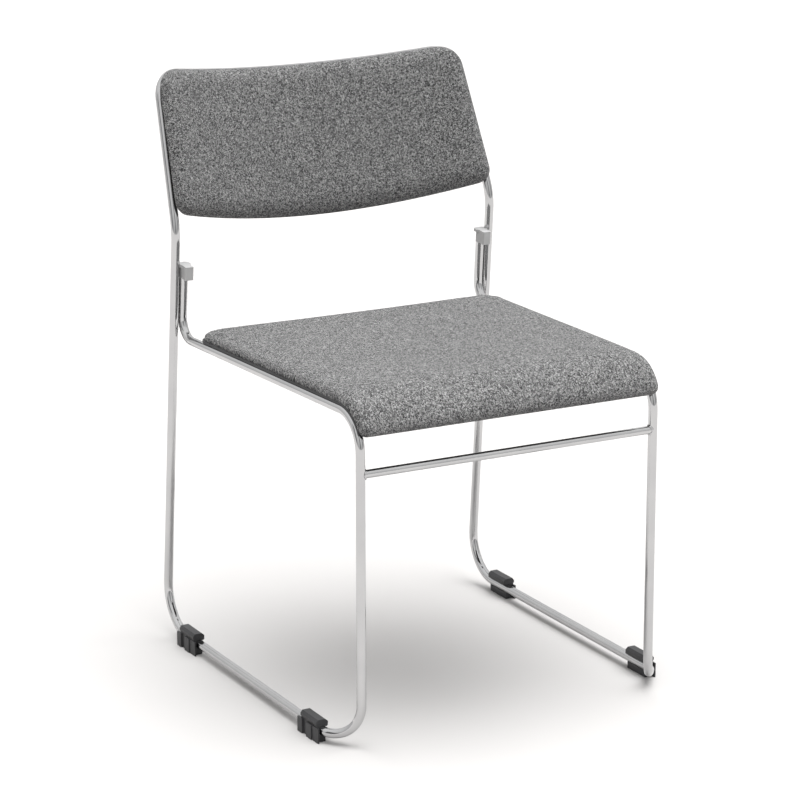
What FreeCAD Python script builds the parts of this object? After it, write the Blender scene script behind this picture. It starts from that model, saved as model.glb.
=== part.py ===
import FreeCAD, Part
import math
import os
import Sketcher

# Stacking chair with a bent-rod sled frame, an upholstered seat and an upholstered back.
# Millimetres. +Z is up, the sitter faces -Y, and +X is the sitter's left.
# The origin is on the floor, under the centre of the chair's outline.

Vector = FreeCAD.Vector

SIZES = (
    # frame rods
    ("rod_diameter", 12.0, "round rod of the hoop and the two side rods"),
    ("cross_rail_diameter", 10.5, "round rod welded between the front legs"),
    ("rod_gap", 0.3, "running clearance between the two rods at the back"),
    ("weld_gap", 0.1, "gap left at a coped or welded seat"),
    ("runner_height", 14.5, "floor to the centre of a runner"),
    ("stance_width", 474.5, "between the centres of the two runners"),
    ("recline_width", 470.4, "between the rods at the bend under the backrest"),
    ("front_leg_width", 415.0, "between the centres of the front legs"),
    ("seat_rail_length", 471.0, "front leg to the foot of the short upright"),
    ("seat_rail_front_height", 422.4, "floor to the seat rail at the front bend"),
    ("seat_rail_rear_height", 418.5, "floor to the seat rail at its rear bend"),
    ("short_upright_top", 501.4, "floor to the sawn end of the short upright"),
    ("rear_leg_reach", 506.5, "front leg to the rear leg, at runner height"),
    ("recline_reach", 458.0, "front leg to the bend under the backrest"),
    ("recline_height", 564.7, "floor to the bend under the backrest"),
    ("hoop_top_reach", 537.4, "front leg to the hoop's top corner"),
    ("hoop_top_height", 759.0, "floor to the hoop's top corner"),
    ("hoop_top_width", 444.0, "between the hoop's top corners"),
    ("back_bow_angle", 21.0, "degrees that the top rail turns in at its ends"),
    ("cross_rail_height", 351.0, "floor to the centre of the front cross rail"),
    # bends, to the centre of the rod
    ("seat_front_bend", 46.0, "bend radius over the front leg"),
    ("seat_rear_bend", 26.0, "bend radius under the short upright"),
    ("front_foot_bend", 42.0, "bend radius at the foot of the front leg"),
    ("front_toe_bend", 16.0, "bend radius where the foot turns into the runner"),
    ("front_toe_reach", 40.0, "front leg to the bend where the toe meets the runner"),
    ("rear_foot_bend", 56.0, "bend radius at the foot of the rear leg"),
    ("recline_bend", 80.0, "bend radius under the backrest"),
    ("hoop_corner_bend", 38.0, "bend radius at the hoop's top corners"),
    # glides
    ("glide_length", 43.0, "length of a glide along the runner"),
    ("glide_front_reach", 67.0, "front leg to the middle of the front glide"),
    ("glide_rear_reach", 425.0, "front leg to the middle of the rear glide"),
    ("glide_clearance", 0.15, "radial gap between a glide's bore and the runner"),
    ("glide_outer_wall", 4.6, "glide wall outside the runner"),
    ("glide_recess_wall", 2.2, "same wall at the recess under the lobe"),
    ("glide_lobe", 8.8, "height of the glide's lobe above the runner"),
    ("link_plate_rear", 7.0, "linking plate beyond the rear of the glide"),
    ("link_plate_front", 5.0, "linking plate beyond the front of the glide"),
    ("link_hook", 13.0, "rear hook of the linking plate, along the runner"),
    ("link_groove", 11.0, "groove that takes the next chair's hook"),
    ("link_block", 14.0, "raised block in front of the groove"),
    ("link_depth", 3.0, "depth of the groove"),
    # caps on the short uprights
    ("cap_width", 11.6, "cap across the chair"),
    ("cap_reach", 19.0, "short upright's centre to the front of the cap"),
    ("cap_tail", 5.4, "short upright's centre to the rear of the cap"),
    ("cap_height", 18.2, "height of the cap above the end of the rod"),
    ("cap_plate", 3.8, "thickness of the cap's top plate"),
    ("cap_lip", 2.8, "top plate beyond the sides of the cap"),
    ("cap_peg_diameter", 7.0, "peg that plugs the end of the rod"),
    ("cap_peg_length", 14.0, "length of that peg"),
    # seat
    ("seat_overhang", 3.6, "seat pan beyond the centre of the seat rail"),
    ("seat_rear_gap", 47.0, "short upright's centre to the rear of the pan"),
    ("seat_lip_height", 401.0, "floor to the bottom of the seat's front lip"),
    ("pan_thickness", 3.0, "moulded plastic pan under the seat"),
    ("seat_board_thickness", 7.0, "bent plywood board in the seat"),
    ("seat_pad_thickness", 15.0, "board, foam and fabric on the seat pan"),
    ("seat_corner_radius", 24.0, "rear corners of the seat"),
    ("seat_front_radius", 9.0, "front corners of the seat"),
    ("fabric_thickness", 1.4, "upholstery fabric"),
    ("glue_line", 0.2, "glue between the layers of the seat and the back"),
    ("board_inset", 9.0, "edge of a board inside the fabric"),
    # backrest
    ("back_bottom", 19.0, "bend under the backrest to the pad's lower corners"),
    ("back_bottom_drop", 12.0, "drop of the pad's lower edge at its middle"),
    ("back_shell_thickness", 2.6, "moulded plastic rear shell of the backrest"),
    ("back_board_thickness", 6.0, "bent plywood board in the backrest"),
    ("back_pad_thickness", 14.0, "board, foam and fabric on the rear shell"),
    ("back_corner_radius", 30.0, "upper corners of the backrest"),
    ("back_lower_radius", 16.0, "lower corners of the backrest"),
    # welded tabs and their fasteners
    ("tab_length", 34.0, "tab along the rod"),
    ("tab_width", 26.0, "tab from the rod to its free edge"),
    ("tab_thickness", 3.0, "tab sheet"),
    ("tab_hole", 6.6, "screw hole in a tab"),
    ("seat_tab_front", 95.0, "front leg to the front seat tabs"),
    ("seat_tab_rear", 375.0, "front leg to the rear seat tabs"),
    ("back_tab_low", 55.0, "bend under the backrest to the lower back tabs"),
    ("back_tab_high", 160.0, "bend under the backrest to the upper back tabs"),
    ("screw_diameter", 6.0, "machine screw"),
    ("screw_head_diameter", 11.0, "pan head of the screw"),
    ("screw_head_height", 3.6, "pan head of the screw"),
    ("socket_width", 4.0, "hexagon socket across its flats"),
    ("socket_depth", 2.2, "hexagon socket"),
    ("nut_barrel_diameter", 7.8, "barrel of a tee nut"),
    ("nut_flange_diameter", 17.0, "flange of a tee nut"),
    ("nut_flange_thickness", 1.4, "flange of a tee nut"),
    ("thread_clearance", 0.05, "radial gap between a screw and its nut"),
    ("nut_seat", 3.2, "pan or shell left under a tee nut's barrel"),
    ("nut_clearance", 0.1, "radial gap between a nut and its board"),
)

doc = FreeCAD.newDocument("stacking_chair")
sheet = doc.addObject("Spreadsheet::Sheet", "sizes")
for row, (alias, value, note) in enumerate(SIZES, start=1):
    sheet.set(f"A{row}", note)
    sheet.set(f"B{row}", str(value))
    sheet.setAlias(f"B{row}", alias)
doc.recompute()


def size(alias):
    """The number in the sheet's cell of that name."""
    return float(sheet.get(alias))


rod = size("rod_diameter") / 2
SIDES = {"left": 1, "right": -1}
nodes = []


def keep(thing, label):
    """Take an object as a sub-part and name it."""
    thing.Label = label
    nodes.append(thing)
    return thing


def feature(label, shape):
    """A sub-part whose shape is worked out from the sheet."""
    thing = doc.addObject("Part::Feature", label)
    thing.Shape = shape
    thing.Placement = FreeCAD.Placement()
    return keep(thing, label)


# ---------------------------------------------------------------- lines of the frame
# Chair lines are first measured back from the plane of the front legs, then moved so
# that the origin is under the centre of the outline.

recline_run = size("hoop_top_reach") - size("recline_reach")
recline_rise = size("hoop_top_height") - size("recline_height")
back_length = math.hypot(recline_run, recline_rise)
bow_angle = math.radians(size("back_bow_angle"))
corner_bend = size("hoop_corner_bend")
hoop_half_width = size("hoop_top_width") / 2
arc_half_chord = hoop_half_width - corner_bend * math.cos(bow_angle)
bow_radius = arc_half_chord / math.sin(bow_angle)
bow_depth = corner_bend * math.sin(bow_angle) + arc_half_chord * math.tan(bow_angle / 2)

rail_slope = math.atan2(
    size("seat_rail_front_height") - size("seat_rail_rear_height"), size("seat_rail_length"))
seat_build = rod + size("pan_thickness") + size("seat_pad_thickness")
bend_height = size("seat_rail_front_height") - size("seat_front_bend") * math.tan(
    math.radians(45) + rail_slope / 2)
lip_rise = max(size("seat_lip_height") - bend_height, 0)
front_face = size("seat_front_bend") - math.sqrt(
    (size("seat_front_bend") + seat_build) ** 2 - lip_rise ** 2)
rear_face = size("hoop_top_reach") + bow_depth * recline_rise / back_length + rod
middle = (front_face + rear_face) / 2


def point(x, reach, z):
    """A point given by its distance behind the front legs."""
    return Vector(x, reach - middle, z)


back_up = Vector(0, recline_run, recline_rise) / back_length
back_normal = Vector(0, recline_rise, -recline_run) / back_length
back_origin = point(0, size("recline_reach"), size("recline_height"))


def back_point(x, up, out):
    """A point on the reclined back: across, up the slope, and square to it."""
    return back_origin + Vector(x, 0, 0) + back_up * up + back_normal * out


def unit(vector):
    """A copy of the vector, one long."""
    return vector / vector.Length


def bent_line(points, radii):
    """Edges along the points, every corner between them rounded to its radius."""
    edges = []
    start = points[0]
    for before, corner, after, radius in zip(points, points[1:], points[2:], radii):
        arriving = unit(corner - before)
        leaving = unit(after - corner)
        turn = arriving.getAngle(leaving)
        reach = radius * math.tan(turn / 2)
        bend_start = corner - arriving * reach
        bend_end = corner + leaving * reach
        inward = unit(leaving - arriving)
        centre = corner + inward * (radius / math.cos(turn / 2))
        edges.append(Part.makeLine(start, bend_start))
        edges.append(Part.Arc(bend_start, centre - inward * radius, bend_end).toShape())
        start = bend_end
    edges.append(Part.makeLine(start, points[-1]))
    return edges


def bent_rod(label, edges, diameter_cell):
    """A round rod swept along a bent line, from the start of its first edge."""
    line = doc.addObject("Part::Feature", label + "_line")
    line.Shape = Part.Wire(edges)
    start = edges[0].valueAt(edges[0].FirstParameter)
    heading = edges[0].tangentAt(edges[0].FirstParameter)
    section = doc.addObject("Part::Circle", label + "_section")
    section.setExpression("Radius", f"sizes.{diameter_cell} / 2")
    section.Placement = FreeCAD.Placement(start, FreeCAD.Rotation(Vector(0, 0, 1), heading))
    sweep = doc.addObject("Part::Sweep", label)
    sweep.Sections = [section]
    sweep.Spine = (line, [f"Edge{i}" for i in range(1, len(edges) + 1)])
    sweep.Solid = True
    sweep.Frenet = False
    return sweep


half_stance = size("stance_width") / 2
half_front = size("front_leg_width") / 2
runner = size("runner_height")
rear_leg_lean = (size("rear_leg_reach") - size("recline_reach")) / (
    size("recline_height") - runner)


half_recline = size("recline_width") / 2
rear_leg_tuck = (half_stance - half_recline) / (size("recline_height") - runner)


def rear_leg(side, height, inboard=0):
    """The centre of a rear leg at a height, or a point inboard of it."""
    x = half_stance - rear_leg_tuck * (height - runner) - inboard
    reach = size("rear_leg_reach") - rear_leg_lean * (height - runner)
    return point(side * x, reach, height)


weld_reach = size("glide_rear_reach")


def side_rod_points(side):
    """Corners of a side rod, from the short upright's end to the weld under the rear glide."""
    beside = size("rod_diameter") + size("rod_gap")
    return [
        rear_leg(side, size("short_upright_top"), beside),
        rear_leg(side, size("seat_rail_rear_height"), beside),
        point(side * half_front, 0, size("seat_rail_front_height")),
        point(side * half_front, 0, runner),
        point(side * half_stance, size("front_toe_reach"), runner),
        point(side * half_stance, weld_reach, runner),
    ]


def hoop_half_points(side):
    """Corners of one half of the hoop, from the weld up to the corner of the top rail."""
    return [
        point(side * half_stance, weld_reach, runner),
        point(side * half_stance, size("rear_leg_reach"), runner),
        point(side * half_recline, size("recline_reach"), size("recline_height")),
        point(side * hoop_half_width, size("hoop_top_reach"), size("hoop_top_height")),
    ]


def hoop_half_edges(side):
    """Bent line of one half of the hoop, up to where the bowed top rail begins."""
    corners = hoop_half_points(side)
    into_rail = Vector(-side, 0, 0) * math.cos(bow_angle) + back_normal * math.sin(bow_angle)
    upward = unit(corners[-1] - corners[-2])
    reach = corner_bend * math.tan(upward.getAngle(into_rail) / 2)
    corners.append(corners[-1] + into_rail * reach * 1.0001)
    radii = [size("rear_foot_bend"), size("recline_bend"), corner_bend]
    return bent_line(corners, radii)[:-1]


# ---------------------------------------------------------------- frame
# One bent rod makes both rear legs, the sides of the back and the bowed top rail. Each
# side rod starts under the grey cap, runs down beside the rear leg, forward under the
# seat, down the front leg and back along the floor to its butt weld in the rear glide.

left_edges = hoop_half_edges(1)
right_edges = hoop_half_edges(-1)
rail_left = left_edges[-1].valueAt(left_edges[-1].LastParameter)
rail_right = right_edges[-1].valueAt(right_edges[-1].LastParameter)
rail_middle = back_point(0, back_length, bow_depth)
top_rail = Part.Arc(rail_left, rail_middle, rail_right).toShape()
hoop_edges = left_edges + [top_rail] + right_edges[::-1]
keep(bent_rod("back_hoop", hoop_edges, "rod_diameter"), "back_hoop")

side_bends = [size("seat_rear_bend"), size("seat_front_bend"), size("front_foot_bend"),
              size("front_toe_bend")]
for name, side in SIDES.items():
    side_points = side_rod_points(side)
    bent = bent_rod("bent_" + name, bent_line(side_points, side_bends), "rod_diameter")
    socket = doc.addObject("Part::Cylinder", "cap_socket_" + name)
    socket.setExpression("Radius", "sizes.cap_peg_diameter / 2 + sizes.glide_clearance")
    socket.setExpression("Height", "sizes.cap_peg_length + 2")
    socket.Placement = FreeCAD.Placement(side_points[0], FreeCAD.Rotation(
        Vector(0, 0, 1), side_points[1] - side_points[0]))
    drilled = doc.addObject("Part::Cut", "side_rod_" + name)
    drilled.Base, drilled.Tool = bent, socket
    keep(drilled, "side_rod_" + name)


def origin_plane(body, role):
    """A body's own XY, XZ or YZ plane."""
    for plane in body.Origin.OriginFeatures:
        if plane.Role == role:
            return plane


def new_body(label, placement):
    """An empty body, kept as a sub-part."""
    body = doc.addObject("PartDesign::Body", label)
    body.Placement = placement
    return keep(body, label)


def polygon_sketch(body, name, role, corners, lift="0"):
    """A sketch of straight edges whose corners are pairs of expressions on the sheet."""
    sketch = body.newObject("Sketcher::SketchObject", name)
    sketch.AttachmentSupport = (origin_plane(body, role), "")
    sketch.MapMode = "FlatFace"
    sketch.setExpression("AttachmentOffset.Base.z", lift)
    spots = [Vector(sketch.evalExpression(x), sketch.evalExpression(y), 0) for x, y in corners]
    for i, spot in enumerate(spots):
        sketch.addGeometry(Part.LineSegment(spot, spots[(i + 1) % len(spots)]), False)
    for i, (x, y) in enumerate(corners):
        sketch.addConstraint(Sketcher.Constraint("Coincident", i, 2, (i + 1) % len(spots), 1))
        for kind, text, value in (("DistanceX", x, spots[i].x), ("DistanceY", y, spots[i].y)):
            index = sketch.addConstraint(Sketcher.Constraint(kind, -1, 1, i, 1, value))
            sketch.renameConstraint(index, f"{kind}_{i}")
            sketch.setExpression(f"Constraints.{kind}_{i}", text)
    return sketch


def circle_sketch(body, name, role, centre, radius, lift="0"):
    """A sketch of one circle, its centre and radius bound to the sheet."""
    sketch = body.newObject("Sketcher::SketchObject", name)
    sketch.AttachmentSupport = (origin_plane(body, role), "")
    sketch.MapMode = "FlatFace"
    sketch.setExpression("AttachmentOffset.Base.z", lift)
    spot = Vector(sketch.evalExpression(centre[0]), sketch.evalExpression(centre[1]), 0)
    sketch.addGeometry(Part.Circle(spot, Vector(0, 0, 1), sketch.evalExpression(radius)), False)
    for kind, text, value in (("DistanceX", centre[0], spot.x), ("DistanceY", centre[1], spot.y)):
        index = sketch.addConstraint(Sketcher.Constraint(kind, -1, 1, 0, 3, value))
        sketch.renameConstraint(index, kind)
        sketch.setExpression(f"Constraints.{kind}", text)
    index = sketch.addConstraint(
        Sketcher.Constraint("Radius", 0, sketch.evalExpression(radius)))
    sketch.renameConstraint(index, "Radius")
    sketch.setExpression("Constraints.Radius", radius)
    return sketch


def pad(body, sketch, length, midplane=False, reverse=False):
    """A pad of the sketch, its length an expression on the sheet."""
    thing = body.newObject("PartDesign::Pad", sketch.Name + "_pad")
    thing.Profile = sketch
    thing.Midplane = midplane
    thing.Reversed = reverse
    thing.setExpression("Length", length)
    return thing


def pocket(body, sketch, length, midplane=False, reverse=False):
    """A pocket of the sketch; it is refused if it removes nothing."""
    doc.recompute()
    before = body.Shape.Volume
    thing = body.newObject("PartDesign::Pocket", sketch.Name + "_pocket")
    thing.Profile = sketch
    thing.Midplane = midplane
    thing.Reversed = reverse
    thing.setExpression("Length", length)
    doc.recompute()
    if not body.Shape.Volume < before:
        raise ValueError(f"{thing.Name} removes nothing")
    return thing


# ---------------------------------------------------------------- front cross rail
# A thinner rod, coped at both ends to sit against the front legs.

cross_height = size("cross_rail_height")
rail_bar = doc.addObject("Part::Cylinder", "cross_rail_bar")
rail_bar.setExpression("Radius", "sizes.cross_rail_diameter / 2")
rail_bar.setExpression("Height", "sizes.front_leg_width")
rail_bar.Placement = FreeCAD.Placement(
    point(-half_front, 0, cross_height), FreeCAD.Rotation(Vector(0, 0, 1), Vector(1, 0, 0)))
copes = []
for name, side in SIDES.items():
    cope = doc.addObject("Part::Cylinder", "cross_rail_cope_" + name)
    cope.setExpression("Radius", "sizes.rod_diameter / 2 + sizes.weld_gap")
    cope.setExpression("Height", "4 * sizes.rod_diameter")
    cope.Placement.Base = point(side * half_front, 0, cross_height - 2 * size("rod_diameter"))
    copes.append(cope)
cope_pair = doc.addObject("Part::MultiFuse", "cross_rail_copes")
cope_pair.Shapes = copes
cross_rail = doc.addObject("Part::Cut", "front_cross_rail")
cross_rail.Base = rail_bar
cross_rail.Tool = cope_pair
keep(cross_rail, "front_cross_rail")

# ---------------------------------------------------------------- glides
# Black clips that snap on the runners from outside. Each is open towards the middle of
# the chair and stands on its foot. Its outer plate has a hook and a groove, for linking
# chairs in a row.

BORE = "(sizes.rod_diameter / 2 + sizes.glide_clearance)"
OUTER = f"({BORE} + sizes.glide_outer_wall)"
RECESS = f"({BORE} + sizes.glide_recess_wall)"
LOBE_TOP = "(sizes.rod_diameter / 2 + sizes.glide_lobe)"
FOOT = "-sizes.runner_height"


def glide(label, side, reach):
    """A glide with its bore on the runner; its hook is nearest the rear leg."""
    body = new_body(label, FreeCAD.Placement(
        point(side * half_stance, reach, runner), FreeCAD.Rotation()))
    profile = [
        ("-3.5", FOOT), (RECESS, FOOT), (RECESS, "7"), (f"{RECESS} + 1.2", "8"),
        (f"{RECESS} + 1.2", f"{LOBE_TOP} - 3.6"), (f"{RECESS} - 1.6", LOBE_TOP),
        ("-3.4", LOBE_TOP), ("-7", f"{LOBE_TOP} - 3.2"), ("-7", "6.4"), ("-5.6", "5"),
        ("0", "5"), ("0", "-4.6"), ("-3.5", "-4.6"),
    ]
    mirrored = [(f"{side} * ({x})", z) for x, z in profile]
    section = polygon_sketch(body, label + "_section", "XZ_Plane", mirrored)
    pad(body, section, "sizes.glide_length", midplane=True)
    rear = "(sizes.glide_length / 2 + sizes.link_plate_rear)"
    front = "(-sizes.glide_length / 2 - sizes.link_plate_front)"
    hook = f"({rear} - sizes.link_hook)"
    groove = f"({hook} - sizes.link_groove)"
    block = f"({groove} - sizes.link_block)"
    inner = f"({RECESS} - 1)"
    low = f"({OUTER} - sizes.link_depth)"
    plate = [
        (inner, front), (f"({OUTER} - 1.2)", front), (f"({OUTER} - 1.2)", block),
        (OUTER, block), (OUTER, groove), (low, f"({groove} + 0.8)"),
        (low, f"({hook} - 0.8)"), (OUTER, hook), (OUTER, f"({rear} - 0.8)"),
        (f"({OUTER} - 0.8)", rear), (inner, rear),
    ]
    outline = polygon_sketch(body, label + "_plate", "XY_Plane", [
        (f"{side} * {x}", y) for x, y in plate], FOOT)
    pad(body, outline, "sizes.runner_height + 5")
    bore = circle_sketch(body, label + "_bore", "XZ_Plane", ("0", "0"), BORE)
    pocket(body, bore, "4 * sizes.glide_length", midplane=True)
    return body


for end in ("front", "rear"):
    for name, side in SIDES.items():
        glide(f"glide_{end}_{name}", side, size(f"glide_{end}_reach"))

# ---------------------------------------------------------------- caps
# Grey plastic plugs in the ends of the short uprights. Each block reaches forward, as a
# rest for the chair stacked on top, and its top plate is cut round the rear leg.


def cap(label, side):
    """A cap whose local origin is the centre of the rod's sawn end."""
    rod_end, rod_foot = side_rod_points(side)[:2]
    body = new_body(label, FreeCAD.Placement(
        rod_end, FreeCAD.Rotation(Vector(0, 0, 1), rod_end - rod_foot)))
    half = "(sizes.cap_width / 2)"
    tail = "sizes.cap_tail"
    block = polygon_sketch(body, label + "_block", "XY_Plane", [
        (f"1 - {half}", "-sizes.cap_reach"), (f"{half} - 1", "-sizes.cap_reach"),
        (half, "1 - sizes.cap_reach"), (half, f"{tail} - 3.5"),
        (f"{half} - 3.5", tail), (f"3.5 - {half}", tail),
        (f"-{half}", f"{tail} - 3.5"), (f"-{half}", "1 - sizes.cap_reach")])
    pad(body, block, "sizes.cap_height")
    wide = f"({half} + sizes.cap_lip)"
    plate = polygon_sketch(body, label + "_plate", "XY_Plane", [
        (f"-{wide}", "-3"), (f"-{half}", "-7"), (half, "-7"), (wide, "-3"),
        (wide, "3"), (half, f"{tail} + sizes.cap_lip / 2"),
        (f"-{half}", f"{tail} + sizes.cap_lip / 2"), (f"-{wide}", "3")],
        "sizes.cap_height - sizes.cap_plate")
    pad(body, plate, "sizes.cap_plate")
    peg = circle_sketch(body, label + "_peg", "XY_Plane", ("0", "0"),
                        "sizes.cap_peg_diameter / 2", "-sizes.cap_peg_length")
    pad(body, peg, "sizes.cap_peg_length + 1")
    beside = circle_sketch(
        body, label + "_hollow", "XY_Plane",
        (f"{side} * (sizes.rod_diameter + sizes.rod_gap)", "0"),
        "sizes.rod_diameter / 2 + sizes.glide_clearance", "2 * sizes.cap_height")
    pocket(body, beside, "4 * sizes.cap_height")
    return body


for name, side in SIDES.items():
    cap("cap_" + name, side)

# ---------------------------------------------------------------- seat shapes
# The seat follows the rails and their front bend. Its layers are offsets from the centre
# of the rail, from the pan upwards.

seat_bend = size("seat_front_bend")
pan_under = rod
pan_top = pan_under + size("pan_thickness")
glue = size("glue_line")
seat_top = pan_top + size("seat_pad_thickness")
rail_front = point(0, 0, size("seat_rail_front_height"))
rail_rear = rear_leg(0, size("seat_rail_rear_height")) * 1
rail_rear.x = 0
rail_way = unit(rail_front - rail_rear)
rail_up = Vector(0, rail_way.z, -rail_way.y)
rail_turn = rail_way.getAngle(Vector(0, 0, -1))
bend_reach = seat_bend * math.tan(rail_turn / 2)
bend_centre = rail_front - rail_way * bend_reach - rail_up * seat_bend
bend_outward = unit(rail_front - bend_centre)
seat_rear_reach = size("seat_rear_gap")


def seat_layer(low, high, trim=0):
    """A layer of the seat between two heights above the rail, right across the chair."""
    start = rail_rear + rail_way * (seat_rear_reach + trim)
    lip = size("seat_lip_height") + trim
    foot = bend_centre.z - 2 * seat_bend

    def line(height):
        begin = start + rail_up * height
        over = bend_centre + rail_up * (seat_bend + height)
        middle_of_bend = bend_centre + bend_outward * (seat_bend + height)
        down = bend_centre + Vector(0, -1, 0) * (seat_bend + height)
        return begin, over, middle_of_bend, down, Vector(0, down.y, foot)

    lower, upper = line(low), line(high)
    edges = []
    for side_line in (lower, upper):
        edges.append(Part.makeLine(side_line[0], side_line[1]))
        edges.append(Part.Arc(*side_line[1:4]).toShape())
        edges.append(Part.makeLine(side_line[3], side_line[4]))
    edges.append(Part.makeLine(lower[4], upper[4]))
    edges.append(Part.makeLine(lower[0], upper[0]))
    face = Part.Face(Part.Wire(Part.__sortEdges__(edges)))
    across = size("stance_width")
    face.translate(Vector(-across / 2, 0, 0))
    layer = face.extrude(Vector(across, 0, 0))
    below = Part.makeBox(2 * across, 4 * seat_bend, lip - foot + seat_bend,
                         Vector(-across, bend_centre.y - 3 * seat_bend, foot - seat_bend))
    return layer.cut(below)


def rounded_prism(corners, radii, direction):
    """A prism on a closed outline whose corners are rounded to the radii."""
    count = len(corners)
    edges = []
    ends = []
    for i in range(count):
        before, corner, after = corners[i - 1], corners[i], corners[(i + 1) % count]
        arriving, leaving = unit(corner - before), unit(after - corner)
        turn = arriving.getAngle(leaving)
        reach = radii[i] * math.tan(turn / 2)
        inward = unit(leaving - arriving)
        centre = corner + inward * (radii[i] / math.cos(turn / 2))
        ends.append((corner - arriving * reach, corner + leaving * reach))
        edges.append(Part.Arc(ends[i][0], centre - inward * radii[i], ends[i][1]).toShape())
    for i in range(count):
        edges.append(Part.makeLine(ends[i][1], ends[(i + 1) % count][0]))
    face = Part.Face(Part.Wire(Part.__sortEdges__(edges)))
    return face.extrude(direction)


def seat_outline(trim):
    """A tall prism over the seat's outline, smaller by the trim at every edge."""
    front = rail_front.y - seat_top + min(trim, size("fabric_thickness"))
    rear = rail_rear.y - seat_rear_reach - trim
    widen = (abs(side_rod_points(1)[1].x) - half_front) / (rail_rear.y - rail_front.y)
    half_front_edge = half_front + size("seat_overhang") - trim

    def half_at(y):
        return half_front_edge + widen * (y - rail_front.y)

    corners = [Vector(side * half_at(y), y, 0) for side, y in (
        (-1, front), (1, front), (1, rear), (-1, rear))]
    rear_radius = size("seat_corner_radius") - trim
    front_radius = size("seat_front_radius")
    return rounded_prism(
        corners, [front_radius, front_radius, rear_radius, rear_radius],
        Vector(0, 0, size("hoop_top_height")))


# ---------------------------------------------------------------- tabs and fasteners
# Steel tabs welded to the inside of the rods carry the seat and the backrest. A screw
# goes through each tab into a tee nut sunk in the board.

tab_reach = size("tab_width")
screw_inset = 0.55 * tab_reach


class Seat:
    """Where one tab sits: its contact plane, and the directions along it."""

    def __init__(self, corner, inboard, out, thickness):
        self.corner = corner
        self.inboard = inboard
        self.out = out
        self.thickness = thickness
        self.screw = corner + inboard * screw_inset

    def placement(self, at):
        """Local X towards the middle of the chair, local Z out of the contact plane."""
        along = self.out.cross(self.inboard)
        matrix = FreeCAD.Matrix(
            self.inboard.x, along.x, self.out.x, at.x,
            self.inboard.y, along.y, self.out.y, at.y,
            self.inboard.z, along.z, self.out.z, at.z,
            0, 0, 0, 1)
        return FreeCAD.Placement(matrix)


def seat_tab_place(side, reach):
    """A seat tab's place, its top face against the underside of the pan."""
    rear_corner, front_corner = side_rod_points(side)[1:3]
    along = unit(rear_corner - front_corner)
    distance = (reach - 0) / along.y
    on_rail = front_corner + along * distance
    inboard = unit(rail_up.cross(along)) * side
    if inboard.x * side > 0:
        inboard = inboard * -1
    edge = math.sqrt(max(rod ** 2 - (rod - size("tab_thickness")) ** 2, 0))
    corner = on_rail + rail_up * rod + inboard * (edge + size("weld_gap"))
    return Seat(corner, inboard, rail_up * -1, size("tab_thickness"))


bow_axis_out = bow_depth - bow_radius
shell_rear = bow_radius - rod - size("rod_gap")
shell_front = shell_rear - size("back_shell_thickness")
back_front = shell_front - size("back_pad_thickness")


def back_tab_place(side, up):
    """A back tab's place, its front face against the rear shell, its back on the rod."""
    share = up / back_length
    half = half_recline + (hoop_half_width - half_recline) * share
    rod_radius = math.hypot(half, bow_axis_out)
    angle = math.atan2(half, -bow_axis_out)
    outward = Vector(side, 0, 0) * math.sin(angle) + back_normal * math.cos(angle)
    inboard = Vector(-side, 0, 0) * math.cos(angle) + back_normal * math.sin(angle)
    axis = back_point(0, up, bow_axis_out)
    thickness = rod_radius - rod - size("weld_gap") - shell_rear
    return Seat(axis + outward * shell_rear, inboard, outward, thickness)


def tab(label, place):
    """A flat tab with its screw hole; local X runs inboard from the rod."""
    body = new_body(label, place.placement(place.corner))
    outline = polygon_sketch(body, label + "_outline", "XY_Plane", [
        ("0", "-sizes.tab_length / 2"), ("sizes.tab_width - 5", "-sizes.tab_length / 2"),
        ("sizes.tab_width", "-sizes.tab_length / 2 + 5"),
        ("sizes.tab_width", "sizes.tab_length / 2 - 5"),
        ("sizes.tab_width - 5", "sizes.tab_length / 2"), ("0", "sizes.tab_length / 2")])
    pad(body, outline, f"{place.thickness:.4f} mm")
    hole = circle_sketch(body, label + "_hole", "XY_Plane",
                         ("0.55 * sizes.tab_width", "0"), "sizes.tab_hole / 2",
                         "4 * sizes.tab_thickness")
    pocket(body, hole, "8 * sizes.tab_thickness")
    return body


def placed_cylinder(name, place, radius, start, length):
    """A cylinder on a tab's screw line, from a depth below the contact plane."""
    thing = doc.addObject("Part::Cylinder", name)
    thing.setExpression("Radius", radius)
    thing.Height = length
    thing.Placement = place.placement(place.screw + place.out * start)
    return thing


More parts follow.
